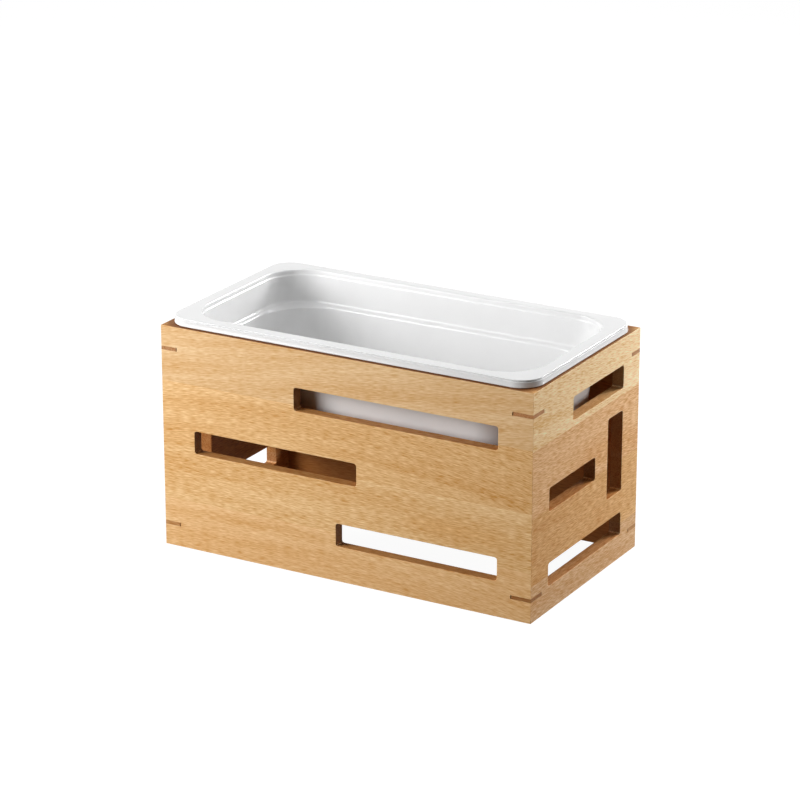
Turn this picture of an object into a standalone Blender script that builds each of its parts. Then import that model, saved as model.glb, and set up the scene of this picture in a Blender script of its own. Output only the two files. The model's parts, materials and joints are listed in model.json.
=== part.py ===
"""Beech buffet riser with a lift-out food pan.

Four walls, each glued up from staves, meet in mitred corners that small hardwood keys hold together.
The box is open above and below and has routed slots in every wall.
A white food pan hangs in the open top by its flange and lifts straight out.

Metres, +Z up. The origin is on the table, under the middle of the box, and +X runs along the box.
"""

import math

import bmesh
import bpy

# Food pan: the one-third size of catering pan
FLANGE_LENGTH = 0.3275      # over the foot of the skirt, where the flange is widest
FLANGE_WIDTH = 0.1765
FLANGE_HEIGHT = 0.0065      # from the skirt's lower edge to the flange's top
FLANGE_CORNER = 0.019       # outer corner radius, seen from above
FLANGE_EDGE = 0.0008        # rounding of the flange's upper edge
SKIRT_FLARE = 0.001         # how far the skirt leans out from the flange's top to its foot
SKIRT_EDGE = 0.0008         # rounding of the skirt's lower edges
MOUTH_CORNER = 0.034        # corner radius of the pan's mouth, seen from above
PAN_DEPTH = 0.100           # from the flange's top to the underside
PAN_WALL = 0.003            # thickness of the moulding
LIP_RADIUS = 0.0022         # rounding from the flange into the mouth
LID_SEAT_DROP = 0.0035      # from the flange's top to the lid seat
LID_SEAT_RADIUS = 0.002
LID_SEAT_TURN = math.radians(45)
SHOULDER_DROP = 0.0254      # from the flange's top to the stacking shoulder
SHOULDER_RADIUS = 0.0026
SHOULDER_TURN = math.radians(75)
SHOULDER_SAG = 0.002        # how far the shoulder's outside lies below its inside
CORNER_GROWTH = 0.013       # how much rounder the corners are below the shoulder, seen from above
UPPER_DRAFT = 0.03          # how far the wall above the shoulder leans in for each unit of depth
LOWER_DRAFT = 0.10          # the same below the shoulder
FLOOR_RADIUS = 0.012

# Box
END_LEDGE = 0.00235         # wall top left bare beside the flange at each end
SIDE_LEDGE = 0.00275        # wall top left bare beside the flange at each side
BOX_HEIGHT = 0.186
WALL = 0.010
PAN_CLEARANCE = 0.0012      # between the pan's body and the walls around it
SEAT_GAP = 0.0003           # between the flange and the top of the walls
GLUE_LINE = 0.0003          # thickness of every glue joint

# Slots in all walls
SLOT_HEIGHT = 0.0191
SLOT_CORNER = 0.0022        # radius that the router leaves in a slot's corners

# Slots in the front and back walls, seen from outside
FRONT_MARGIN = 0.0296       # from a slot's outer end to the corner of the box
FRONT_LIFT = 0.0294         # from the table to the bottom slot
FRONT_DROP = 0.0314         # from the top of the box to the top slot
FRONT_TOP_LENGTH = 0.180
FRONT_MIDDLE_LENGTH = 0.149
FRONT_BOTTOM_LENGTH = 0.1427
FRONT_GLUE_RISES = (0.0116, 0.0067, 0.0047)   # each glue line above the bottom of the slot that it crosses

# Slots in the end walls, seen from outside
END_MARGIN = 0.0284
END_LIFT = 0.0205
END_DROP = 0.0229
END_TOP_LENGTH = 0.087
UPRIGHT_WIDTH = 0.0258      # width of the standing slot
UPRIGHT_GAP = 0.0185        # wood above and below the standing slot
MIDDLE_GAP = 0.0217         # wood between the middle slot and the standing slot
END_GLUE_RISES = (0.0095, 0.0027, -0.005)     # each glue line above the bottom of the slot beside it

# Corner keys
KEY_THICKNESS = 0.003
KEY_DROP = 0.0188           # from the top or bottom of the box to the middle of a key
KEY_COVERS = {              # wood left between a key and the inside corner of the box
    "front_right": 0.0022,
    "back_right": 0.0044,
    "back_left": 0.0022,
    "front_left": 0.0044,
}

# Sizes that follow from the ones above
BOX_LENGTH = FLANGE_LENGTH + 2 * END_LEDGE
BOX_WIDTH = FLANGE_WIDTH + 2 * SIDE_LEDGE
BODY_LENGTH = BOX_LENGTH - 2 * (WALL + PAN_CLEARANCE)
BODY_WIDTH = BOX_WIDTH - 2 * (WALL + PAN_CLEARANCE)
BODY_CORNER = MOUTH_CORNER + PAN_WALL
SHOULDER_HEIGHT = 2 * SHOULDER_RADIUS * math.sin(SHOULDER_TURN)
LOWER_LEAN = math.atan(LOWER_DRAFT)
MITRE_TRIM = GLUE_LINE / math.sqrt(2)         # taken off each end of a stave for the glue in the mitre

# Mesh fineness
CUT_OVERRUN = 0.004         # how far a cutter reaches past the faces that it cuts
SLOT_CORNER_STEPS = 4
PAN_CORNER_STEPS = 10
EDGE_STEPS = 3
TURN_STEPS = 4
FLOOR_STEPS = 6
MERGE_DISTANCE = 0.00001    # corners closer than this are one corner
SHARP_ANGLE = math.radians(40)

# Finishes: colour as seen, in 0 to 255, and roughness
BEECH_TONES = {
    "beech_pale": (224, 186, 134),
    "beech_golden": (222, 176, 114),
    "beech_pink": (214, 170, 122),
    "beech_tan": (208, 164, 110),
}
BEECH_ROUGHNESS = 0.5
KEY_COLOUR = (160, 110, 66)
KEY_ROUGHNESS = 0.5
PAN_COLOUR = (240, 240, 237)
PAN_ROUGHNESS = 0.15


def remove_everything():
    for old in list(bpy.data.objects):
        bpy.data.objects.remove(old, do_unlink=True)


def new_collection(name):
    collection = bpy.data.collections.new(name)
    bpy.context.scene.collection.children.link(collection)
    return collection


def linear(channel):
    """Turn one 0 to 255 display value into the linear value that a shader takes."""
    value = channel / 255
    if value <= 0.04045:
        return value / 12.92
    return ((value + 0.055) / 1.055) ** 2.4


def make_material(name, colour, roughness):
    material = bpy.data.materials.new(name)
    material.use_nodes = True
    shader = material.node_tree.nodes["Principled BSDF"]
    shader.inputs["Base Color"].default_value = [linear(channel) for channel in colour] + [1.0]
    shader.inputs["Roughness"].default_value = roughness
    shader.inputs["Metallic"].default_value = 0.0
    return material


def make_empty(name, collection, location, turn=0.0):
    empty = bpy.data.objects.new(name, None)
    empty.location = location
    empty.rotation_euler = (0.0, 0.0, turn)
    empty.empty_display_size = WALL
    collection.objects.link(empty)
    return empty


def make_object(name, bm, collection, parent, material=None):
    """Turn a bmesh into a named object that stands in its parent's frame."""
    bmesh.ops.recalc_face_normals(bm, faces=bm.faces)
    mesh = bpy.data.meshes.new(name)
    bm.to_mesh(mesh)
    bm.free()
    if material:
        mesh.materials.append(material)
    piece = bpy.data.objects.new(name, mesh)
    piece.parent = parent
    collection.objects.link(piece)
    return piece


def make_cutter(name, bm, collection, parent):
    cutter = make_object(name, bm, collection, parent)
    cutter.hide_render = True
    cutter.display_type = "WIRE"
    return cutter


def block(x_range, y_range, z_range):
    """A box between the given limits, as a bmesh."""
    bm = bmesh.new()
    bmesh.ops.create_cube(bm, size=1.0)
    for vert in bm.verts:
        vert.co.x = x_range[vert.co.x > 0]
        vert.co.y = y_range[vert.co.y > 0]
        vert.co.z = z_range[vert.co.z > 0]
    return bm


def cut(piece, cutter):
    boolean = piece.modifiers.new(cutter.name, "BOOLEAN")
    boolean.operation = "DIFFERENCE"
    boolean.solver = "EXACT"
    boolean.object = cutter


def ranges_meet(first, second):
    return first[0] < second[1] and second[0] < first[1]


# Walls. Each is drawn as the front one: along x, with its outer face on y = 0 and y pointing inwards.

def slot_layout_front():
    """Bottom, middle and top slot of a long wall: limits along x, then limits in height."""
    half = BOX_LENGTH / 2
    bottom = FRONT_LIFT
    top = BOX_HEIGHT - FRONT_DROP - SLOT_HEIGHT
    middle = (bottom + top) / 2
    left_end = -half + FRONT_MARGIN
    right_end = half - FRONT_MARGIN
    return {
        "bottom": ((right_end - FRONT_BOTTOM_LENGTH, right_end), (bottom, bottom + SLOT_HEIGHT)),
        "middle": ((left_end, left_end + FRONT_MIDDLE_LENGTH), (middle, middle + SLOT_HEIGHT)),
        "top": ((right_end - FRONT_TOP_LENGTH, right_end), (top, top + SLOT_HEIGHT)),
    }


def slot_layout_end():
    """Bottom, middle, top and standing slot of an end wall, in the same form."""
    half = BOX_WIDTH / 2
    bottom = END_LIFT
    top = BOX_HEIGHT - END_DROP - SLOT_HEIGHT
    upright = (bottom + SLOT_HEIGHT + UPRIGHT_GAP, top - UPRIGHT_GAP)
    middle = (sum(upright) - SLOT_HEIGHT) / 2
    left_end = -half + END_MARGIN
    right_end = half - END_MARGIN
    upright_left = right_end - UPRIGHT_WIDTH
    return {
        "bottom": ((left_end, right_end), (bottom, bottom + SLOT_HEIGHT)),
        "middle": ((left_end, upright_left - MIDDLE_GAP), (middle, middle + SLOT_HEIGHT)),
        "top": ((right_end - END_TOP_LENGTH, right_end), (top, top + SLOT_HEIGHT)),
        "upright": ((upright_left, right_end), upright),
    }


def stave_ranges(slots, glue_rises):
    """Heights at which each stave of a wall starts and ends, from the table up."""
    rows = [slots[row][1][0] for row in ("bottom", "middle", "top")]
    glue_lines = [row + rise for row, rise in zip(rows, glue_rises)]
    starts = [0.0] + [line + GLUE_LINE / 2 for line in glue_lines]
    ends = [line - GLUE_LINE / 2 for line in glue_lines] + [BOX_HEIGHT]
    return list(zip(starts, ends))


def stave_mesh(length, z_range):
    """A board whose ends are mitred towards the inside of the box."""
    half = length / 2 - MITRE_TRIM
    bm = block((-half, half), (0.0, WALL), z_range)
    for vert in bm.verts:
        vert.co.x -= math.copysign(vert.co.y, vert.co.x)
    return bm


def slot_mesh(x_range, z_range):
    bm = block(x_range, (-CUT_OVERRUN, WALL + CUT_OVERRUN), z_range)
    corners = [edge for edge in bm.edges if edge.verts[0].co.y != edge.verts[1].co.y]
    bmesh.ops.bevel(
        bm, geom=corners, offset=SLOT_CORNER, offset_type="OFFSET", affect="EDGES",
        segments=SLOT_CORNER_STEPS, profile=0.5, clamp_overlap=True,
    )
    return bm


def build_wall(name, length, slots, glue_rises, tones, place, parts, cutters):
    """Staves of one wall, cut by the slots that they meet; returns each stave with its height range."""
    slot_cutters = {}
    for slot_name, (x_range, z_range) in slots.items():
        mesh = slot_mesh(x_range, z_range)
        slot_cutters[slot_name] = make_cutter(f"{name}_{slot_name}_slot", mesh, cutters, place)
    staves = []
    for number, z_range in enumerate(stave_ranges(slots, glue_rises), start=1):
        mesh = stave_mesh(length, z_range)
        stave = make_object(f"{name}_stave_{number}", mesh, parts, place, tones[number - 1])
        for slot_name, slot_cutter in slot_cutters.items():
            if ranges_meet(z_range, slots[slot_name][1]):
                cut(stave, slot_cutter)
        staves.append((stave, z_range))
    return staves


# Corner keys. Each is drawn with the box's corner at its origin, one leg along -x and one along +y.

def key_mesh(leg, z_range, overrun):
    """A flat right-angled triangle; a cutter also reaches past the two outer faces by the overrun."""
    bm = block((-leg - overrun, overrun), (-overrun, leg + overrun), z_range)
    for vert in bm.verts:
        if vert.co.x < 0:
            vert.co.y = -overrun
    bmesh.ops.remove_doubles(bm, verts=bm.verts, dist=MERGE_DISTANCE)
    return bm


def build_keys(corner, cover, place, staves, material, parts, cutters):
    """The upper and lower key of one corner, let into the staves on both sides of it."""
    leg = 2 * WALL - math.sqrt(2) * cover
    pocket_leg = leg + math.sqrt(2) * GLUE_LINE
    for level, middle in (("lower", KEY_DROP), ("upper", BOX_HEIGHT - KEY_DROP)):
        key_range = (middle - KEY_THICKNESS / 2, middle + KEY_THICKNESS / 2)
        pocket_range = (key_range[0] - GLUE_LINE, key_range[1] + GLUE_LINE)
        make_object(f"{corner}_{level}_key", key_mesh(leg, key_range, 0.0), parts, place, material)
        pocket_mesh = key_mesh(pocket_leg, pocket_range, CUT_OVERRUN)
        pocket = make_cutter(f"{corner}_{level}_key_pocket", pocket_mesh, cutters, place)
        for stave, z_range in staves:
            if ranges_meet(z_range, pocket_range):
                cut(stave, pocket)


# Food pan. Heights count from the flange's top, and insets from the flange's edge or the body's face.

def arc(centre, radius, start, turn, steps):
    """Points on an arc, as (inset, height), for angles in radians."""
    angles = [start + turn * step / steps for step in range(steps + 1)]
    return [(centre[0] + radius * math.cos(a), centre[1] + radius * math.sin(a)) for a in angles]


def s_curve(start, radius, turn):
    """A smooth step inwards and down: it bends in by the turn, then back to upright."""
    upper = arc((start[0] + radius, start[1]), radius, math.pi, turn, TURN_STEPS)
    bend = upper[-1]
    centre = (bend[0] - radius * math.cos(turn), bend[1] - radius * math.sin(turn))
    lower = arc(centre, radius, turn, -turn, TURN_STEPS)
    return upper + lower[1:]


def flange_profile():
    """From the underside of the flange, round the skirt and up to the flange's top."""
    skirt_foot = -FLANGE_HEIGHT
    quarter = math.pi / 2
    inner_foot = (PAN_WALL - SKIRT_EDGE, skirt_foot + SKIRT_EDGE)
    outer_foot = (SKIRT_EDGE, skirt_foot + SKIRT_EDGE)
    upper_edge = (SKIRT_FLARE + FLANGE_EDGE, -FLANGE_EDGE)
    return (
        [(SKIRT_FLARE + PAN_WALL, -PAN_WALL)]
        + arc(inner_foot, SKIRT_EDGE, 0.0, -quarter, EDGE_STEPS)
        + arc(outer_foot, SKIRT_EDGE, -quarter, -quarter, EDGE_STEPS)
        + arc(upper_edge, FLANGE_EDGE, math.pi, -quarter, EDGE_STEPS)
    )


def body_profiles():
    """The inside of the pan from lip to floor, and its outside from underside to flange."""
    lip = arc((PAN_WALL - LIP_RADIUS, -LIP_RADIUS), LIP_RADIUS, math.pi / 2, -math.pi / 2, TURN_STEPS)
    lid_seat = s_curve((PAN_WALL, -LID_SEAT_DROP), LID_SEAT_RADIUS, LID_SEAT_TURN)
    upper_inset, upper_height = lid_seat[-1]
    upper_step = UPPER_DRAFT * (SHOULDER_DROP + upper_height)
    shoulder = s_curve((upper_inset + upper_step, -SHOULDER_DROP), SHOULDER_RADIUS, SHOULDER_TURN)
    lower_inset, lower_height = shoulder[-1]
    centre_height = PAN_WALL - PAN_DEPTH + FLOOR_RADIUS
    curve_height = centre_height - FLOOR_RADIUS * math.sin(LOWER_LEAN)
    curve_inset = lower_inset + LOWER_DRAFT * (lower_height - curve_height)
    floor_centre = (curve_inset + FLOOR_RADIUS * math.cos(LOWER_LEAN), centre_height)
    floor_turn = math.pi / 2 - LOWER_LEAN
    floor_curve = arc(floor_centre, FLOOR_RADIUS, math.pi + LOWER_LEAN, floor_turn, FLOOR_STEPS)
    inside = lip + lid_seat + shoulder + floor_curve
    under_curve = arc(floor_centre, FLOOR_RADIUS + PAN_WALL, 3 * math.pi / 2, -floor_turn, FLOOR_STEPS)
    shoulder_ends = (shoulder[-1], shoulder[0])
    shoulder_outside = [(inset - PAN_WALL, height - SHOULDER_SAG) for inset, height in shoulder_ends]
    outside = under_curve + shoulder_outside + [(0.0, -PAN_WALL)]
    return inside, outside


def corner_growth(height):
    """How much rounder the corners are at a height: not at all above the shoulder, fully below it."""
    share = (-SHOULDER_DROP - SHOULDER_SAG - height) / (SHOULDER_HEIGHT - SHOULDER_SAG)
    return CORNER_GROWTH * min(max(share, 0.0), 1.0)


def rounded_ring(bm, outline, inset, height):
    """One closed section of the loft: an outline with rounded corners, drawn in by the inset."""
    length, width, corner = outline
    corner += corner_growth(height)
    ring = []
    for quadrant, (x_sign, y_sign) in enumerate(((1, 1), (-1, 1), (-1, -1), (1, -1))):
        centre_x = x_sign * (length / 2 - corner)
        centre_y = y_sign * (width / 2 - corner)
        for step in range(PAN_CORNER_STEPS + 1):
            angle = (quadrant + step / PAN_CORNER_STEPS) * math.pi / 2
            x = centre_x + (corner - inset) * math.cos(angle)
            y = centre_y + (corner - inset) * math.sin(angle)
            ring.append(bm.verts.new((x, y, height + FLANGE_HEIGHT)))
    return ring


def build_pan(place, material, parts):
    """Loft the pan through its sections, from the underside over the flange to the floor inside."""
    inside, outside = body_profiles()
    body = (BODY_LENGTH, BODY_WIDTH, BODY_CORNER)
    flange = (FLANGE_LENGTH, FLANGE_WIDTH, FLANGE_CORNER)
    bm = bmesh.new()
    rings = []
    for outline, profile in ((body, outside), (flange, flange_profile()), (body, inside)):
        rings += [rounded_ring(bm, outline, inset, height) for inset, height in profile]
    for lower, upper in zip(rings, rings[1:]):
        for here, there in zip(range(len(lower)), range(-1, len(lower) - 1)):
            bm.faces.new((lower[there], lower[here], upper[here], upper[there]))
    bm.faces.new(rings[0])
    bm.faces.new(rings[-1])
    pan = make_object("food_pan", bm, parts, place, material)
    pan.data.shade_smooth()
    pan.data.set_sharp_from_angle(angle=SHARP_ANGLE)
    return pan


def main():
    remove_everything()
    parts = new_collection("buffet_riser")
    cutters = new_collection("cutters")
    beech = {name: make_material(name, colour, BEECH_ROUGHNESS) for name, colour in BEECH_TONES.items()}
    front_tones = [beech["beech_tan"], beech["beech_tan"], beech["beech_golden"], beech["beech_pale"]]
    end_tones = [beech["beech_tan"], beech["beech_tan"], beech["beech_pink"], beech["beech_pale"]]
    key_material = make_material("key_hardwood", KEY_COLOUR, KEY_ROUGHNESS)
    pan_material = make_material("pan_white", PAN_COLOUR, PAN_ROUGHNESS)

    half_length = BOX_LENGTH / 2
    half_width = BOX_WIDTH / 2
    quarter = math.pi / 2
    front = (BOX_LENGTH, slot_layout_front(), FRONT_GLUE_RISES, front_tones)
    end = (BOX_WIDTH, slot_layout_end(), END_GLUE_RISES, end_tones)
    wall_places = {
        "front": (front, (0.0, -half_width, 0.0), 0.0),
        "right": (end, (half_length, 0.0, 0.0), quarter),
        "back": (front, (0.0, half_width, 0.0), 2 * quarter),
        "left": (end, (-half_length, 0.0, 0.0), 3 * quarter),
    }
    walls = {}
    for name, (design, location, turn) in wall_places.items():
        place = make_empty(f"{name}_wall", parts, location, turn)
        walls[name] = build_wall(name, *design, place, parts, cutters)

    corner_places = {
        "front_right": ((half_length, -half_width, 0.0), 0.0),
        "back_right": ((half_length, half_width, 0.0), quarter),
        "back_left": ((-half_length, half_width, 0.0), 2 * quarter),
        "front_left": ((-half_length, -half_width, 0.0), 3 * quarter),
    }
    for corner, (location, turn) in corner_places.items():
        place = make_empty(f"{corner}_corner", parts, location, turn)
        long_wall, end_wall = corner.split("_")
        staves = walls[long_wall] + walls[end_wall]
        build_keys(corner, KEY_COVERS[corner], place, staves, key_material, parts, cutters)

    lift_axis = make_empty("pan_lift_axis", parts, (0.0, 0.0, BOX_HEIGHT + SEAT_GAP))
    build_pan(lift_axis, pan_material, parts)


main()
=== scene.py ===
import json
import math

import bpy
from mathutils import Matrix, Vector


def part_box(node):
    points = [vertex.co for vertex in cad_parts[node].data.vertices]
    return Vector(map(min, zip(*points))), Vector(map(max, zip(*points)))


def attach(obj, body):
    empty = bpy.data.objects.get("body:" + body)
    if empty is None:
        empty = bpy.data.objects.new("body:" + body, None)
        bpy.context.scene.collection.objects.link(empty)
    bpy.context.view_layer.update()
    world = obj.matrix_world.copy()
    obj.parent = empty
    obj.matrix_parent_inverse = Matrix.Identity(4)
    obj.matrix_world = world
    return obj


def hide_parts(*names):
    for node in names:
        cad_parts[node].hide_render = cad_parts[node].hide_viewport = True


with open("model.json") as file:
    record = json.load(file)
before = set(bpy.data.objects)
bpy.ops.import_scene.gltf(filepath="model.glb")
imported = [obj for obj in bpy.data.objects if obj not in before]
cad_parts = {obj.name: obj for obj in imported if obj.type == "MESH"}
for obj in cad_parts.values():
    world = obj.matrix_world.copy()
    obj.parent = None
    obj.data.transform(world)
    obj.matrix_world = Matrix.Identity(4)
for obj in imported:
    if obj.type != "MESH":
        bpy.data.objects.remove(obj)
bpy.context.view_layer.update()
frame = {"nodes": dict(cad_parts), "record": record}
record = frame["record"]
wallNames = ("front", "right", "back", "left")
staveNumbers = (1, 2, 3, 4)    # counted from the table up
print("frame:", len(frame["nodes"]), "solids")


# modelling helpers

def pickOnly(obj):
    bpy.ops.object.select_all(action="DESELECT")
    obj.select_set(True)
    bpy.context.view_layer.objects.active = obj


def addBlock(name, low, high):
    bpy.ops.object.select_all(action="DESELECT")
    middle = [(a + b) / 2 for a, b in zip(low, high)]
    bpy.ops.mesh.primitive_cube_add(size=1, location=middle)
    block = bpy.context.object
    block.name = name
    block.data.name = name
    block.scale = [b - a for a, b in zip(low, high)]
    bpy.ops.object.transform_apply(location=True, rotation=True, scale=True)
    return block


def copyOf(obj, name):
    pickOnly(obj)
    bpy.ops.object.duplicate(linked=False)
    copy = bpy.context.object
    copy.name = name
    copy.data.name = name
    return copy


def selectEdges(obj, wanted):
    pickOnly(obj)
    bpy.ops.object.mode_set(mode="EDIT")
    bpy.ops.mesh.select_mode(type="EDGE")
    bpy.ops.mesh.select_all(action="DESELECT")
    bpy.ops.object.mode_set(mode="OBJECT")
    for edge in obj.data.edges:
        start, end = (obj.data.vertices[index].co for index in edge.vertices)
        edge.select = wanted(start, end)
    bpy.ops.object.mode_set(mode="EDIT")


def roundEdges(obj, wanted, radius, steps):
    selectEdges(obj, wanted)
    bpy.ops.mesh.bevel(offset=radius, offset_type="OFFSET", segments=steps, profile=0.5, affect="EDGES")
    bpy.ops.object.mode_set(mode="OBJECT")


def sliceAway(obj, point, normal):    # drops what lies on the side that the normal points to
    pickOnly(obj)
    bpy.ops.object.mode_set(mode="EDIT")
    bpy.ops.mesh.select_all(action="SELECT")
    bpy.ops.mesh.bisect(plane_co=point, plane_no=normal, use_fill=True, clear_outer=True, threshold=1e-7)
    bpy.ops.object.mode_set(mode="OBJECT")


def carve(obj, tool):    # takes the tool's shape out of the piece, and the tool away
    pickOnly(obj)
    cutting = obj.modifiers.new("carve", "BOOLEAN")
    cutting.operation = "DIFFERENCE"
    cutting.solver = "EXACT"
    cutting.object = tool
    bpy.ops.object.modifier_apply(modifier=cutting.name)
    bpy.data.objects.remove(tool)


def mendMesh(obj, least):    # closes up the slivers that a cut beside a corner leaves
    pickOnly(obj)
    bpy.ops.object.mode_set(mode="EDIT")
    bpy.ops.mesh.select_all(action="SELECT")
    bpy.ops.mesh.remove_doubles(threshold=least)
    bpy.ops.mesh.dissolve_degenerate(threshold=least)
    bpy.ops.object.mode_set(mode="OBJECT")


def smoothShade(obj, angle):    # soft where it is round, flat where it is flat
    pickOnly(obj)
    bpy.ops.object.shade_smooth_by_angle(angle=math.radians(angle))
    even = obj.modifiers.new("even", "WEIGHTED_NORMAL")
    even.keep_sharp = True
    bpy.ops.object.modifier_apply(modifier=even.name)


# material helpers

def linear(colour):
    channels = [c / 255 for c in colour]
    return tuple(c / 12.92 if c <= 0.04045 else ((c + 0.055) / 1.055) ** 2.4 for c in channels) + (1.0,)


def newMaterial(name):
    material = bpy.data.materials.new(name)
    material.use_nodes = True
    return material, material.node_tree, material.node_tree.nodes["Principled BSDF"]


def addNode(tree, kind, inputs=None, **settings):
    made = tree.nodes.new(kind)
    for key, value in settings.items():
        setattr(made, key, value)
    for key, value in (inputs or {}).items():
        if isinstance(value, bpy.types.NodeSocket):
            tree.links.new(value, made.inputs[key])
        else:
            made.inputs[key].default_value = value
    return made


def mathNode(tree, operation, first, second=0.0):
    return addNode(tree, "ShaderNodeMath", {0: first, 1: second}, operation=operation).outputs[0]


def multiplyAdd(tree, value, factor, rest):
    terms = {0: value, 1: factor, 2: rest}
    return addNode(tree, "ShaderNodeMath", terms, operation="MULTIPLY_ADD").outputs[0]


def vectorMath(tree, operation, first, second=(0.0, 0.0, 0.0)):
    return addNode(tree, "ShaderNodeVectorMath", {0: first, 1: second}, operation=operation).outputs


def separate(tree, vector):
    return addNode(tree, "ShaderNodeSeparateXYZ", {0: vector}).outputs


def stretch(tree, vector, scale, shift=(0.0, 0.0, 0.0)):
    terms = {0: vector, 1: scale, 2: shift}
    return addNode(tree, "ShaderNodeVectorMath", terms, operation="MULTIPLY_ADD").outputs[0]


def turnVector(tree, vector, turn):
    return addNode(tree, "ShaderNodeMapping", {"Vector": vector, "Rotation": turn}).outputs[0]


noiseSpread = (0.3, 0.7)    # nearly all of a noise lies between these


def noise(tree, vector, detail=2.0, roughness=0.5):
    made = addNode(tree, "ShaderNodeTexNoise", {"Vector": vector, "Scale": 1.0})
    made.inputs["Detail"].default_value = detail
    made.inputs["Roughness"].default_value = roughness
    return made.outputs["Fac"]


def mapRange(tree, value, fromLow, fromHigh, toLow=0.0, toHigh=1.0):
    limits = {"Value": value, "From Min": fromLow, "From Max": fromHigh, "To Min": toLow, "To Max": toHigh}
    return addNode(tree, "ShaderNodeMapRange", limits, interpolation_type="SMOOTHSTEP").outputs["Result"]


def mixColour(tree, factor, first, second, blend="MIX"):
    made = addNode(tree, "ShaderNodeMix", data_type="RGBA", blend_type=blend)
    for index, value in ((0, factor), (6, first), (7, second)):
        if isinstance(value, bpy.types.NodeSocket):
            tree.links.new(value, made.inputs[index])
        else:
            made.inputs[index].default_value = value
    return made.outputs[2]


# beech: one look for each row of staves, counted from the table up

beech = {
    # paleBand: low, high, start, end; patch: middle along and up, half length and half height
    "rows": {
        "front": (
            {"tone": (238, 189, 131), "fibres": 1.4, "slope": 0.025, "arch": 0.25,
             "paleBand": (0.0335, 0.0400, -0.18, 0.02)},
            {"tone": (236, 189, 130), "lean": 0.3, "paleBand": (0.0800, 0.0890, 0.02, 0.18),
             "patch": (0.105, 0.063, 0.060, 0.013)},
            {"tone": (234, 185, 125), "dash": 0.30, "moreDash": 1.4, "slope": 0.02, "arch": 0.39,
             "paleBand": (0.1335, 0.1400, -0.18, -0.06)},
            {"tone": (234, 191, 138), "fibres": 1.2, "dash": 0.18, "slope": -0.125, "wave": 0.003},
        ),
        "end": (
            {"tone": (228, 181, 132), "fibres": 2.1, "dash": 0.26, "lean": 1.0, "slope": 0.05},
            {"tone": (229, 176, 115), "fibres": 2.2, "dash": 0.26, "lean": 1.6, "slope": 0.05},
            {"tone": (236, 184, 129), "fibres": 2.2, "dash": 0.28, "lean": 0.6, "slope": 0.09,
             "patch": (0.045, 0.104, 0.070, 0.012)},
            {"tone": (254, 218, 166), "fibres": 1.6, "dash": 0.22, "lean": 1.3, "slope": 0.13},
        ),
    },
    "usual": {
        "bands": 0.8,         # strength of the broad bands
        "lines": 0.4,         # strength of the narrow lines
        "fibres": 1.8,        # strength of the fine fibres
        "dash": 0.22,         # darkness of the short ray flecks
        "moreDash": 0.0,      # how that grows along the board, per metre
        "lean": 0.0,          # how the board pales along its length, per metre: painted light falloff along the wall
        "slope": 0.0,         # fall of the grain along the board
        "arch": 0.0,          # bend of the grain along the board, per metre
        "wave": 0.0015,       # height of the grain's waves
    },
    "layers": {               # how often the grain repeats along, through and up the board, per metre
        "bands": {"often": (5.0, 60.0, 85.0), "detail": 2.0, "roughness": 0.55},
        "lines": {"often": (24.0, 300.0, 380.0), "detail": 2.0, "roughness": 0.6},
        "fibres": {"often": (130.0, 1000.0, 1250.0), "detail": 1.0, "roughness": 0.5},
        "dashes": {"often": (200.0, 850.0, 950.0)},
        "drift": {"often": (14.0, 9.0, 22.0), "detail": 1.0},
    },
    "seedShift": (0.37, 0.11, 0.23),  # how far the grain moves from one board to the next
    "dashRim": (0.10, 0.50),          # where a fleck starts to fade, and where it ends
    "contrast": 0.45,                 # between the palest and the darkest wood
    "share": (0.50, 0.92, 1.56),      # how much of it shows in red, green and blue
    "paleTint": (1.09, 1.16, 1.27),
    "paleThrough": (0.75, 0.35),      # the bands break up the pale wood between these
    "paleFade": 0.02,                 # half the length over which it fades out
    "patchTint": (0.93, 0.84, 0.70),
    "patchThrough": (0.25, 0.60),
    "patchRim": (1.0, 0.1),           # where a patch ends, and where it is full
    "endOilAndShadeTint": (0.48, 0.35, 0.24),    # end grain drinks more oil; painted shade in the slots' ends darkens it further
    # painted shade on faces looking up or down: slot sills and tops, the rim
    "upDownShadeTint": (0.66, 0.50, 0.34),
    # painted shade on the faces inside the box
    "insideShadeTint": (0.60, 0.37, 0.19),
    "skirtShadow": (0.0014, 0.0100),     # where the painted shadow round the pan's foot starts to fade, and where it ends
    # colour of the painted shadow round the pan's skirt
    "skirtShadowTint": (0.36, 0.26, 0.17),
    "footCorner": 0.019,              # corner radius of the pan's flange
    "flat": (0.75, 0.98),             # how squarely a face looks out when a tint starts, and when it is full
    "seam": 0.0002,                   # half the width of a mitre's glue line
    "seamTint": (0.95, 0.92, 0.88),
    "roughness": (0.50, 0.62),
    "specular": 0.18,
    "relief": 0.00003,
    "reliefStrength": 0.15,
}


def tinted(colour, amount):
    return tuple(c * (1 + amount * share) for c, share in zip(colour[:3], beech["share"])) + (1.0,)


def skirtShadow(tree, place):    # 1 under the foot of the pan's skirt: a painted shadow on the rim
    corner = beech["footCorner"]
    middle = [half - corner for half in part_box("food_pan")[1].xy] + [0.0]
    past = vectorMath(tree, "SUBTRACT", vectorMath(tree, "ABSOLUTE", place)[0], middle)[0]
    past = vectorMath(tree, "MAXIMUM", past)[0]
    level = vectorMath(tree, "MULTIPLY", past, (1.0, 1.0, 0.0))[0]
    starts, ends = (corner + reach for reach in beech["skirtShadow"])
    near = mapRange(tree, vectorMath(tree, "LENGTH", level)["Value"], starts, ends, 1.0, 0.0)
    onRim = mathNode(tree, "GREATER_THAN", separate(tree, place)["Z"], boxHigh.z - wallThick / 2)
    return mathNode(tree, "MULTIPLY", near, onRim)


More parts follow.
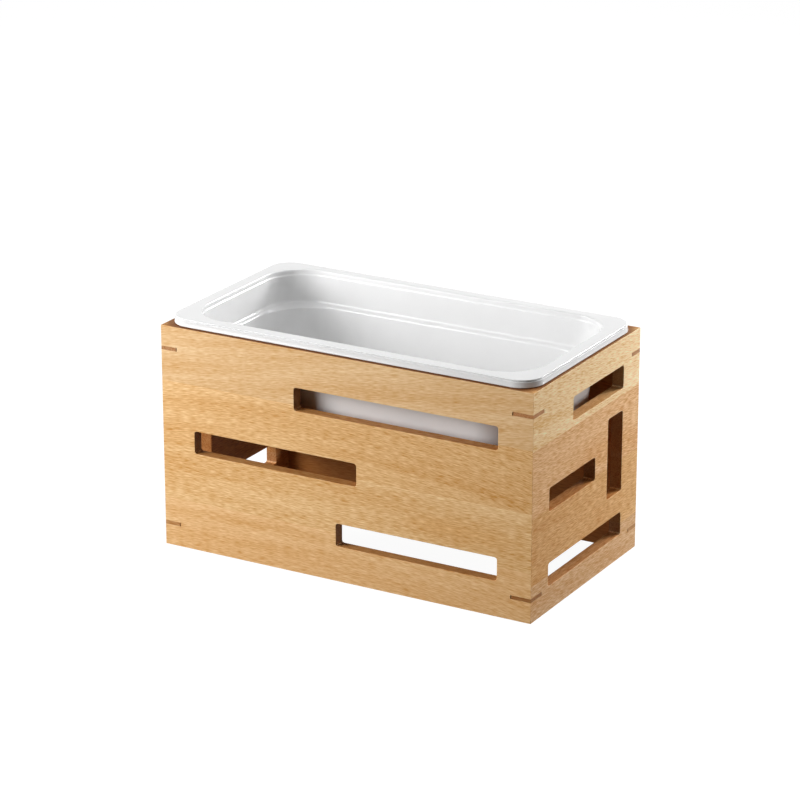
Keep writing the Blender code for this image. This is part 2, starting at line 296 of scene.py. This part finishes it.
def wallTints(tree, colour, place, facing, spot, alongY):    # end grain is darker, and painted shade darkens the slots' ends, faces looking up or down, the inner faces and the rim round the pan's foot
    along, deep = spot
    faceX, faceY, faceZ = separate(tree, facing)
    flat = beech["flat"]
    # end grain, with painted shade for the slots' ends
    endFaceShade = mapRange(tree, mathNode(tree, "ABSOLUTE", faceX), *flat)
    # painted shade on faces looking up or down
    upDownShade = mapRange(tree, mathNode(tree, "ABSOLUTE", faceZ), *flat)
    # painted shade: faces looking into the box are darker
    inward = mathNode(tree, "LESS_THAN", mathNode(tree, "MULTIPLY", faceY, deep), -wallThick)
    # painted shadow round the pan's skirt, on faces looking up
    skirtShade = mathNode(tree, "MULTIPLY", skirtShadow(tree, place), mapRange(tree, faceZ, *flat))
    spread = mathNode(tree, "SUBTRACT", mathNode(tree, "ABSOLUTE", along), mathNode(tree, "ABSOLUTE", deep))
    offMitre = mathNode(tree, "SUBTRACT", spread, -boxCorner if alongY else boxCorner)
    seam = mapRange(tree, mathNode(tree, "ABSOLUTE", offMitre), beech["seam"], 2 * beech["seam"], 1.0, 0.0)
    tints = (("endOilAndShadeTint", endFaceShade), ("upDownShadeTint", upDownShade), ("insideShadeTint", inward), ("skirtShadowTint", skirtShade),
             ("seamTint", seam))
    for tint, factor in tints:
        colour = mixColour(tree, factor, colour, (*beech[tint], 1.0), "MULTIPLY")
    return colour


def woodMaterial(name, row, alongY, seed, inWall):
    look = {**beech["usual"], **row}
    material, tree, shader = newMaterial(name)
    place = addNode(tree, "ShaderNodeTexCoord").outputs
    turn = (0.0, 0.0, -math.pi / 2 if alongY else 0.0)
    turned = turnVector(tree, place["Object"], turn)
    along, deep, up = separate(tree, turned)

    # the grain rises, bends and waves on its way along the board
    shift = tuple(step * seed for step in beech["seedShift"])
    driftLayer = beech["layers"]["drift"]
    drift = noise(tree, stretch(tree, turned, driftLayer["often"], shift), driftLayer["detail"])
    slope = multiplyAdd(tree, along, look["arch"], look["slope"])
    wave = mathNode(tree, "MULTIPLY", mathNode(tree, "SUBTRACT", drift, 0.5), 2 * look["wave"])
    height = mathNode(tree, "ADD", multiplyAdd(tree, along, slope, up), wave)
    bent = addNode(tree, "ShaderNodeCombineXYZ", {"X": along, "Y": deep, "Z": height}).outputs[0]
    grain = stretch(tree, bent, (1.0, 1.0, 1.0), shift)

    # bands, lines and fibres add up to one light or dark value
    layers = {}
    # the lean is painted light: the board pales along its length as the lamps' light falls off along the wall
    shade = multiplyAdd(tree, along, look["lean"], 0.5)
    for kind in ("bands", "lines", "fibres"):
        layer = beech["layers"][kind]
        layers[kind] = noise(tree, stretch(tree, grain, layer["often"]), layer["detail"], layer["roughness"])
        shade = multiplyAdd(tree, mathNode(tree, "SUBTRACT", layers[kind], 0.5), look[kind], shade)
    spots = stretch(tree, grain, beech["layers"]["dashes"]["often"])
    cells = addNode(tree, "ShaderNodeTexVoronoi", {"Vector": spots, "Scale": 1.0}, feature="F1")
    lens = mapRange(tree, cells.outputs["Distance"], *beech["dashRim"], 1.0, 0.0)
    chance = addNode(tree, "ShaderNodeSeparateColor", {0: cells.outputs["Color"]}).outputs["Red"]
    dash = mathNode(tree, "MULTIPLY", mathNode(tree, "MULTIPLY", lens, chance),
                    multiplyAdd(tree, along, look["moreDash"], look["dash"]))
    shade = mathNode(tree, "SUBTRACT", shade, dash)
    tone = linear(look["tone"])
    colour = mixColour(tree, shade, tinted(tone, -beech["contrast"]), tinted(tone, beech["contrast"]))

    if "paleBand" in look:    # sapwood along the top edge of the board
        low, high, start, end = look["paleBand"]
        fade = beech["paleFade"]
        inBand = mathNode(tree, "MULTIPLY", mapRange(tree, height, low, high),
                          mapRange(tree, layers["bands"], *beech["paleThrough"]))
        inRun = mathNode(tree, "MULTIPLY", mapRange(tree, along, start - fade, start + fade),
                         mapRange(tree, along, end + fade, end - fade))
        pale = mathNode(tree, "MULTIPLY", inBand, inRun)
        colour = mixColour(tree, pale, colour, (*beech["paleTint"], 1.0), "MULTIPLY")
    if "patch" in look:    # darker heartwood
        centreX, centreZ, halfX, halfZ = look["patch"]
        fromX = mathNode(tree, "DIVIDE", mathNode(tree, "SUBTRACT", along, centreX), halfX)
        fromZ = mathNode(tree, "DIVIDE", mathNode(tree, "SUBTRACT", height, centreZ), halfZ)
        away = multiplyAdd(tree, fromX, fromX, mathNode(tree, "MULTIPLY", fromZ, fromZ))
        inPatch = mathNode(tree, "MULTIPLY", mapRange(tree, away, *beech["patchRim"]),
                           mapRange(tree, layers["bands"], *beech["patchThrough"]))
        colour = mixColour(tree, inPatch, colour, (*beech["patchTint"], 1.0), "MULTIPLY")

    if inWall:
        facing = turnVector(tree, place["Normal"], turn)
        colour = wallTints(tree, colour, place["Object"], facing, (along, deep), alongY)
    tree.links.new(colour, shader.inputs["Base Color"])

    roughness = mapRange(tree, layers["lines"], *noiseSpread, *beech["roughness"])
    tree.links.new(roughness, shader.inputs["Roughness"])
    shader.inputs["Specular IOR Level"].default_value = beech["specular"]
    relief = {"Height": shade, "Strength": beech["reliefStrength"], "Distance": beech["relief"]}
    bump = addNode(tree, "ShaderNodeBump", relief)
    tree.links.new(bump.outputs["Normal"], shader.inputs["Normal"])
    return material


# the box: one ring with its slots, eased all over, then cut into staves at the mitres and glue lines

box = {
    "slotClear": 0.0008,      # the record's slot boxes stand this far inside the slots
    "slotCorner": 0.0022,     # radius that the router leaves
    "slotCornerSteps": 8,
    "cutPast": 0.004,         # cutters reach this far past the wood
    "ease": 0.00035,          # sanded edges
    "rimEase": 0.0007,        # the same on the outer edge of the rim
    "arris": 0.0001,          # the same on the mitred corners
    "easeSteps": 3,
    "easeAngle": 50,          # edges sharper than this are eased
    "sliver": 0.000003,       # edges shorter than this are closed up
    "smoothAngle": 35,
}

wallBoxes = {wall: [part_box(f"{wall}_stave_{n}") for n in staveNumbers] for wall in wallNames}
boxLow = Vector((wallBoxes["left"][0][0].x, wallBoxes["front"][0][0].y, wallBoxes["front"][0][0].z))
boxHigh = Vector((wallBoxes["right"][0][1].x, wallBoxes["back"][0][1].y, wallBoxes["front"][-1][1].z))
wallThick = wallBoxes["front"][0][1].y - wallBoxes["front"][0][0].y
boxCorner = boxHigh.x - boxHigh.y    # how much farther a mitre lies along X than along Y
upright = Vector((0, 0, 1))
outward = {
    "front": Vector((0, -1, 0)),
    "right": Vector((1, 0, 0)),
    "back": Vector((0, 1, 0)),
    "left": Vector((-1, 0, 0)),
}


def glueLines(wall):    # heights midway between neighbouring staves
    return [(lower[1].z + upper[0].z) / 2 for lower, upper in zip(wallBoxes[wall], wallBoxes[wall][1:])]


def slotCutters():
    cutters = []
    for opening in record["physics"]["openings"]:
        wall = opening["name"].split("_")[0]
        if not opening["name"].endswith("_slot"):
            continue
        through = 1 if wall in ("front", "back") else 0
        grow = Vector((box["slotClear"],) * 3)
        grow[through] = box["cutPast"]
        low = Vector(opening["box_m"][0]) - grow
        high = Vector(opening["box_m"][1]) + grow
        cutter = addBlock(opening["name"], low, high)
        roundEdges(cutter, lambda a, b: abs(a[through] - b[through]) > box["cutPast"],
                   box["slotCorner"], box["slotCornerSteps"])
        cutters.append(cutter)
    return cutters


def onSide(point):    # how many outer sides of the box the point lies on
    return (abs(point.x) > boxHigh.x - box["arris"]) + (abs(point.y) > boxHigh.y - box["arris"])


def atRim(a, b):
    return min(a.z, b.z) > boxHigh.z - box["arris"] and onSide(a) > 0 and onSide(b) > 0


def atCorner(a, b):
    return onSide(a) == 2 and onSide(b) == 2


def easeEdges(ring):    # most on the rim, least on the mitred corners
    pickOnly(ring)
    bpy.ops.object.mode_set(mode="EDIT")
    bpy.ops.mesh.select_mode(type="EDGE")
    bpy.ops.mesh.select_all(action="DESELECT")
    bpy.ops.mesh.edges_select_sharp(sharpness=math.radians(box["easeAngle"]))
    bpy.ops.transform.edge_bevelweight(value=box["ease"] / box["rimEase"])
    bpy.ops.object.mode_set(mode="OBJECT")
    for wanted, radius in ((atRim, box["rimEase"]), (atCorner, box["arris"])):
        selectEdges(ring, wanted)
        bpy.ops.transform.edge_bevelweight(value=(radius - box["ease"]) / box["rimEase"])
        bpy.ops.object.mode_set(mode="OBJECT")
    easing = ring.modifiers.new("easing", "BEVEL")
    easing.width = box["rimEase"]
    easing.segments = box["easeSteps"]
    easing.limit_method = "WEIGHT"
    easing.use_clamp_overlap = True
    bpy.ops.object.modifier_apply(modifier=easing.name)


def makeRing():
    ring = addBlock("ring", boxLow, boxHigh)
    side = Vector((wallThick, wallThick, -box["cutPast"]))
    carve(ring, addBlock("hollow", boxLow + side, boxHigh - side))
    for cutter in slotCutters():
        carve(ring, cutter)
    easeEdges(ring)
    return ring


def cutWall(ring, wall):    # the part of the ring between the mitres at the wall's two ends
    board = copyOf(ring, f"{wall}Board")
    out = outward[wall]
    along = upright.cross(out)
    for end in (-1, 1):
        corner = Vector([high if d > 0 else low for d, low, high in zip(out + end * along, boxLow, boxHigh)])
        sliceAway(board, corner, end * along - out)
    return board


ring = makeRing()
staves = {}
for wall in wallNames:
    board = cutWall(ring, wall)
    levels = glueLines(wall)
    for number in staveNumbers:
        stave = copyOf(board, f"{wall}Stave{number}")
        if number > 1:
            sliceAway(stave, (0, 0, levels[number - 2]), -upright)
        if number < len(staveNumbers):
            sliceAway(stave, (0, 0, levels[number - 1]), upright)
        staves[wall, number] = stave
    bpy.data.objects.remove(board)
bpy.data.objects.remove(ring)
print("staves:", len(staves))


# corner keys: thin triangles let into saw cuts across the mitres

key = {
    "fit": 0.00004,           # gap round a key
    "tipGap": 0.0009,         # the saw cut runs on past the key's tips
    "dash": 0.1,              # darkness of the flecks
    "firstSeed": 40,
    "tones": {                # at the front; the box is the same turned half round
        "left_upper": (184, 133, 88),
        "left_lower": (193, 141, 89),
        "right_upper": (183, 125, 77),
        "right_lower": (162, 108, 58),
    },
}


def keyPrism(name, corner, reach, lowZ, highZ, past):    # reach holds the signed lengths of both legs
    outX, outY = (-math.copysign(past, r) for r in reach)
    far = corner + Vector((reach[0], reach[1], 0))
    lows = [min(corner.x + outX, far.x), min(corner.y + outY, far.y), lowZ]
    highs = [max(corner.x + outX, far.x), max(corner.y + outY, far.y), highZ]
    prism = addBlock(name, lows, highs)
    slant = Vector((math.copysign(1, reach[0]), math.copysign(1, reach[1]), 0))
    sliceAway(prism, corner + Vector((reach[0], 0, 0)), slant)
    return prism


def makeKey(end, side, level):
    node = f"{end}_{side}_{level}_key"
    low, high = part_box(node)
    corner = Vector((boxHigh.x if side == "right" else boxLow.x, boxHigh.y if end == "back" else boxLow.y, 0))
    inX = -1 if side == "right" else 1
    inY = -1 if end == "back" else 1
    reach = Vector((inX * (high.x - low.x), inY * (high.y - low.y)))
    piece = keyPrism(f"{end}{side.title()}{level.title()}Key", corner, reach, low.z, high.z, 0.0)
    roundEdges(piece, lambda a, b: (a - b).z != 0 and (a.xy - corner.xy).length < box["arris"],
               box["arris"], box["easeSteps"])
    number = staveNumbers[0] if level == "lower" else staveNumbers[-1]
    for wall in (end, side):
        longer = Vector([r + math.copysign(key["tipGap"], r) for r in reach])
        pocket = keyPrism("pocket", corner, longer, low.z - key["fit"], high.z + key["fit"], box["cutPast"])
        carve(staves[wall, number], pocket)
    return piece, node


keys = [makeKey(end, side, level) for end in ("front", "back") for side in ("right", "left")
        for level in ("lower", "upper")]
print("keys:", len(keys))

for index, ((wall, number), stave) in enumerate(staves.items()):
    node = f"{wall}_stave_{number}"
    alongY = wall in ("right", "left")
    look = beech["rows"]["end" if alongY else "front"][number - 1]
    stave.data.materials.clear()
    stave.data.materials.append(woodMaterial(f"{wall}Beech{number}", look, alongY, index + 1, True))
    mendMesh(stave, box["sliver"])
    smoothShade(stave, box["smoothAngle"])
    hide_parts(node)
    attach(stave, "box")

for index, (piece, node) in enumerate(keys):
    end, side, level, _ = node.split("_")
    frontSide = side if end == "front" else {"right": "left", "left": "right"}[side]
    look = {"tone": key["tones"][f"{frontSide}_{level}"], "dash": key["dash"]}
    hardwood = woodMaterial(f"hardwood{index + 1}", look, index % 2 == 1, key["firstSeed"] + index, False)
    piece.data.materials.clear()
    piece.data.materials.append(hardwood)
    smoothShade(piece, box["smoothAngle"])
    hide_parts(node)
    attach(piece, "box")


# food pan: a loft through rounded rectangles, from the underside over the flange to the floor inside

pan = {
    "flangeCorner": 0.019,
    "flangeEdge": 0.0005,
    "groove": 0.0012,         # height of the groove under the flange's edge
    "grooveDepth": 0.0009,
    "grooveStart": 1.4,       # how far under the flange's top it starts, in radii of the edge
    "grooveBrow": 0.1,        # how far in it starts, in radii of the edge
    "skirt": 0.0065,
    "skirtFlare": 0.001,      # how far the skirt's foot stands out past the flange's edge
    "skirtBell": 0.00045,     # how much of that lies below the groove
    "skirtFoot": 0.0008,
    "mouthCorner": 0.034,
    "wall": 0.003,
    "clearance": 0.0012,      # between the pan's body and the walls of the box
    "depth": 0.100,
    "fall": 0.0002,           # the flange slopes down to its edge
    "lip": 0.0013,
    "seatDrop": 0.0035,
    "seatRadius": 0.0013,
    "seatTurn": 45,
    "shoulderDrop": 0.0254,
    "shoulderRadius": 0.0026,
    "shoulderTurn": 75,
    "shoulderSag": 0.002,
    "cornerGrowth": 0.013,    # corners are rounder below the shoulder
    "upperDraft": 0.03,
    "lowerDraft": 0.10,
    "floorRadius": 0.012,
    "cornerSteps": 20,
    "turnSteps": 8,
    "footSteps": 4,
    "smoothAngle": 40,
    "white": (240, 240, 240),
    "shadeWhite": (236, 236, 236),
    "clouds": {"often": 18.0, "detail": 3.0, "roughness": 0.55},     # where the white changes, per metre
    "smears": {"often": 60.0, "detail": 3.0, "roughness": 0.60},     # where the gloss changes
    "ripples": {"often": 34.0, "detail": 1.0, "roughness": 0.50},    # unevenness of the moulding
    "roughness": (0.10, 0.17),
    "rippleHeight": 0.001,
    "rippleStrength": 0.06,
    "ior": 1.5,
}


def arcPoints(centre, radius, start, turn, steps):
    angles = [start + turn * step / steps for step in range(steps + 1)]
    return [(centre[0] + radius * math.cos(a), centre[1] + radius * math.sin(a)) for a in angles]


def stepPoints(start, radius, turn):    # bends inwards by the turn, then back to upright
    steps = pan["turnSteps"]
    upper = arcPoints((start[0] + radius, start[1]), radius, math.pi, turn, steps)
    bend = upper[-1]
    centre = (bend[0] - radius * math.cos(turn), bend[1] - radius * math.sin(turn))
    return upper + arcPoints(centre, radius, turn, -turn, steps)[1:]


def panProfiles():    # (inset, height under the flange's top) for the outside, the flange and the inside
    steps = pan["turnSteps"]
    half = math.pi / 2
    wall = pan["wall"]
    foot = pan["skirtFoot"]
    edge = pan["flangeEdge"]
    lip = arcPoints((wall - pan["lip"], -pan["lip"]), pan["lip"], half, -half, steps)
    seat = stepPoints((wall, -pan["seatDrop"]), pan["seatRadius"], math.radians(pan["seatTurn"]))
    upperStep = pan["upperDraft"] * (pan["shoulderDrop"] + seat[-1][1])
    shoulder = stepPoints((seat[-1][0] + upperStep, -pan["shoulderDrop"]), pan["shoulderRadius"],
                          math.radians(pan["shoulderTurn"]))
    radius = pan["floorRadius"]
    lean = math.atan(pan["lowerDraft"])
    centreHeight = wall - pan["depth"] + radius
    wallRun = shoulder[-1][1] - centreHeight + radius * math.sin(lean)
    floorCentre = (shoulder[-1][0] + pan["lowerDraft"] * wallRun + radius * math.cos(lean), centreHeight)
    inside = lip + seat + shoulder + arcPoints(floorCentre, radius, math.pi + lean, half - lean, 2 * steps)
    outside = arcPoints(floorCentre, radius + wall, 3 * half, lean - half, 2 * steps)
    outside += [(inset - wall, height - pan["shoulderSag"]) for inset, height in reversed(shoulder)]
    outside += [(0.0, -wall)]
    fall = pan["fall"]
    flare = pan["skirtFlare"]
    flange = [(flare + wall, -wall - fall)]
    flange += arcPoints((wall - foot, foot - pan["skirt"] + fall), foot, 0.0, -half, pan["footSteps"])
    flange += arcPoints((foot, foot - pan["skirt"]), foot, -half, -half, pan["footSteps"])
    grooveTop = -pan["grooveStart"] * edge - fall
    grooveFoot = grooveTop - pan["groove"]
    skirtRun = grooveFoot - foot + pan["skirt"]
    rises = [step / steps for step in range(1, steps + 1)]
    flange += [(pan["skirtBell"] * (1 - (1 - s) ** 2), foot - pan["skirt"] + s * skirtRun) for s in rises]
    flange += [(flare + pan["grooveDepth"], grooveFoot + pan["groove"] / 2)]
    flange += [(flare + pan["grooveBrow"] * edge, grooveTop)]
    flange += arcPoints((flare + edge, -edge - fall), edge, math.pi, -half, steps)
    return outside, flange, inside


def cornerGrowth(height):    # none above the shoulder, all of it below
    start = -pan["shoulderDrop"] - pan["shoulderSag"]
    end = -pan["shoulderDrop"] - 2 * pan["shoulderRadius"] * math.sin(math.radians(pan["shoulderTurn"]))
    return pan["cornerGrowth"] * min(max((height - start) / (end - start), 0.0), 1.0)


def addLoop(halfX, halfY, corner, height):    # in edit mode: one rounded rectangle, edges only
    bpy.ops.mesh.primitive_plane_add(size=2, location=(0, 0, height))
    bpy.ops.transform.resize(value=(halfX, halfY, 1), center_override=(0, 0, height))
    bpy.ops.mesh.bevel(affect="VERTICES", offset=corner, segments=pan["cornerSteps"], profile=0.5)
    bpy.ops.mesh.delete(type="ONLY_FACE")


def pickLoops(shell, *loops):    # in edit mode: selects the edges of these loops alone
    perLoop = 4 * (pan["cornerSteps"] + 1)
    bpy.ops.mesh.select_all(action="DESELECT")
    bpy.ops.object.mode_set(mode="OBJECT")
    for edge in shell.data.edges:
        first, second = (index // perLoop for index in edge.vertices)
        edge.select = first == second and first in loops
    bpy.ops.object.mode_set(mode="EDIT")


def makePan():
    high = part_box("food_pan")[1]
    inner = wallThick + pan["clearance"]
    bodyHalf = (boxHigh.x - inner, boxHigh.y - inner)
    bodyCorner = pan["mouthCorner"] + pan["wall"]
    outside, flange, inside = panProfiles()
    bpy.ops.object.select_all(action="DESELECT")
    bpy.ops.mesh.primitive_plane_add(size=1, location=(0, 0, 0))
    shell = bpy.context.object
    shell.name = "foodPan"
    shell.data.name = "foodPan"
    bpy.ops.object.mode_set(mode="EDIT")
    bpy.ops.mesh.select_all(action="SELECT")
    bpy.ops.mesh.delete(type="VERT")
    body = (*bodyHalf, bodyCorner)
    rim = (high.x, high.y, pan["flangeCorner"])
    for (halfX, halfY, corner), profile in ((body, outside), (rim, flange), (body, inside)):
        for inset, height in profile:
            addLoop(halfX - inset, halfY - inset, corner - inset + cornerGrowth(height), high.z + height)
    bpy.ops.mesh.select_mode(type="EDGE")
    last = len(outside) + len(flange) + len(inside) - 1
    for loop in range(last):
        pickLoops(shell, loop, loop + 1)
        bpy.ops.mesh.bridge_edge_loops()
    for loop in (0, last):    # underside and floor
        pickLoops(shell, loop)
        bpy.ops.mesh.edge_face_add()
    bpy.ops.mesh.select_all(action="SELECT")
    bpy.ops.mesh.normals_make_consistent(inside=False)
    bpy.ops.object.mode_set(mode="OBJECT")
    return shell


def panMaterial():
    material, tree, shader = newMaterial("glossyWhite")
    place = addNode(tree, "ShaderNodeTexCoord").outputs["Object"]
    made = {}
    for kind in ("clouds", "smears", "ripples"):
        layer = pan[kind]
        spots = stretch(tree, place, (layer["often"],) * 3)
        made[kind] = noise(tree, spots, layer["detail"], layer["roughness"])
    cloudy = mapRange(tree, made["clouds"], *noiseSpread)
    tint = mixColour(tree, cloudy, linear(pan["white"]), linear(pan["shadeWhite"]))
    tree.links.new(tint, shader.inputs["Base Color"])
    roughness = mapRange(tree, made["smears"], *noiseSpread, *pan["roughness"])
    tree.links.new(roughness, shader.inputs["Roughness"])
    relief = {"Height": made["ripples"], "Strength": pan["rippleStrength"], "Distance": pan["rippleHeight"]}
    bump = addNode(tree, "ShaderNodeBump", relief)
    tree.links.new(bump.outputs["Normal"], shader.inputs["Normal"])
    shader.inputs["IOR"].default_value = pan["ior"]
    return material


foodPan = makePan()
foodPan.data.materials.clear()
foodPan.data.materials.append(panMaterial())
smoothShade(foodPan, pan["smoothAngle"])
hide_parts("food_pan")
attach(foodPan, "pan")
print("pan:", len(foodPan.data.polygons), "faces")


# floor, light and camera

studio = {
    "floorSize": 14.0,
    "floorColour": (97, 97, 97),
    "floorRoughness": 0.9,
    "floorGlow": (0.945, 0.985),    # near and far; only seen, so the white floor keeps a soft shadow
    "glowReach": (0.35, 1.20),
    "lamps": (
        {"name": "keyLamp", "place": (-0.77, -0.92, 0.44), "size": 0.80, "watts": 9.3},
        {"name": "leftLamp", "place": (-0.80, -0.80, 0.63), "size": 0.60, "watts": 4.6},
        {"name": "farLeftLamp", "place": (-1.02, -0.59, 0.53), "size": 0.80, "watts": 3.8},
        {"name": "rightLamp", "place": (1.30, -0.10, 0.45), "size": 0.60, "watts": 0.9},
        {"name": "backLamp", "place": (0.56, 1.24, 0.73), "size": 0.40, "watts": 14.5},
        {"name": "sideLamp", "place": (0.75, 0.75, 0.25), "size": 0.40, "watts": 4.3},
        {"name": "highLamp", "place": (0.50, 0.90, 1.10), "size": 0.50, "watts": 3.8},
        {"name": "topLamp", "place": (0.00, 0.00, 1.70), "size": 0.80, "watts": 6.1},
    ),
    "aim": (0.0, 0.0, 0.10),
}


def seenDirectly(tree):    # 1 for camera, glossy and transmission rays
    path = addNode(tree, "ShaderNodeLightPath").outputs
    either = mathNode(tree, "MAXIMUM", path["Is Camera Ray"], path["Is Glossy Ray"])
    return mathNode(tree, "MAXIMUM", either, path["Is Transmission Ray"])


def makeFloor():
    bpy.ops.object.select_all(action="DESELECT")
    bpy.ops.mesh.primitive_plane_add(size=studio["floorSize"], location=(0, 0, 0))
    floor = bpy.context.object
    floor.name = "floor"
    material, tree, shader = newMaterial("paleFloor")
    shader.inputs["Base Color"].default_value = linear(studio["floorColour"])
    shader.inputs["Roughness"].default_value = studio["floorRoughness"]
    shader.inputs["Specular IOR Level"].default_value = 0.0
    place = addNode(tree, "ShaderNodeTexCoord").outputs["Object"]
    away = vectorMath(tree, "LENGTH", place)["Value"]
    glowAround = mapRange(tree, away, *studio["glowReach"], *studio["floorGlow"])
    strength = mathNode(tree, "MULTIPLY", seenDirectly(tree), glowAround)
    glow = addNode(tree, "ShaderNodeEmission", {"Strength": strength})
    both = addNode(tree, "ShaderNodeAddShader", {0: shader.outputs[0], 1: glow.outputs[0]})
    tree.links.new(both.outputs[0], tree.nodes["Material Output"].inputs["Surface"])
    floor.data.materials.append(material)


def makeWorld():    # white where it is seen, no light of its own
    world = bpy.data.worlds.new("studio")
    bpy.context.scene.world = world
    world.use_nodes = True
    tree = world.node_tree
    tree.links.new(seenDirectly(tree), tree.nodes["Background"].inputs["Strength"])
    tree.nodes["Background"].inputs["Color"].default_value = (1.0, 1.0, 1.0, 1.0)


def addLamp(lamp):
    towards = Vector(studio["aim"]) - Vector(lamp["place"])
    turn = towards.to_track_quat("-Z", "Y").to_euler()
    bpy.ops.object.light_add(type="AREA", location=lamp["place"], rotation=turn)
    made = bpy.context.object
    made.name = lamp["name"]
    made.data.shape = "DISK"
    made.data.size = lamp["size"]
    made.data.energy = lamp["watts"]


camera = {
    "place": (1.2045, -2.1080, 0.9828),
    "azimuth": 29.75,
    "elevation": 19.48,
    "lens": 145.62,
    "sensor": 36.0,
}

makeFloor()
makeWorld()
for lamp in studio["lamps"]:
    addLamp(lamp)
tilt = (math.radians(90 - camera["elevation"]), 0, math.radians(camera["azimuth"]))
bpy.ops.object.camera_add(location=camera["place"], rotation=tilt)
viewer = bpy.context.object
viewer.data.sensor_width = camera["sensor"]
viewer.data.lens = camera["lens"]
bpy.context.scene.camera = viewer
bpy.context.scene.view_settings.view_transform = "Standard"
print("studio ready")
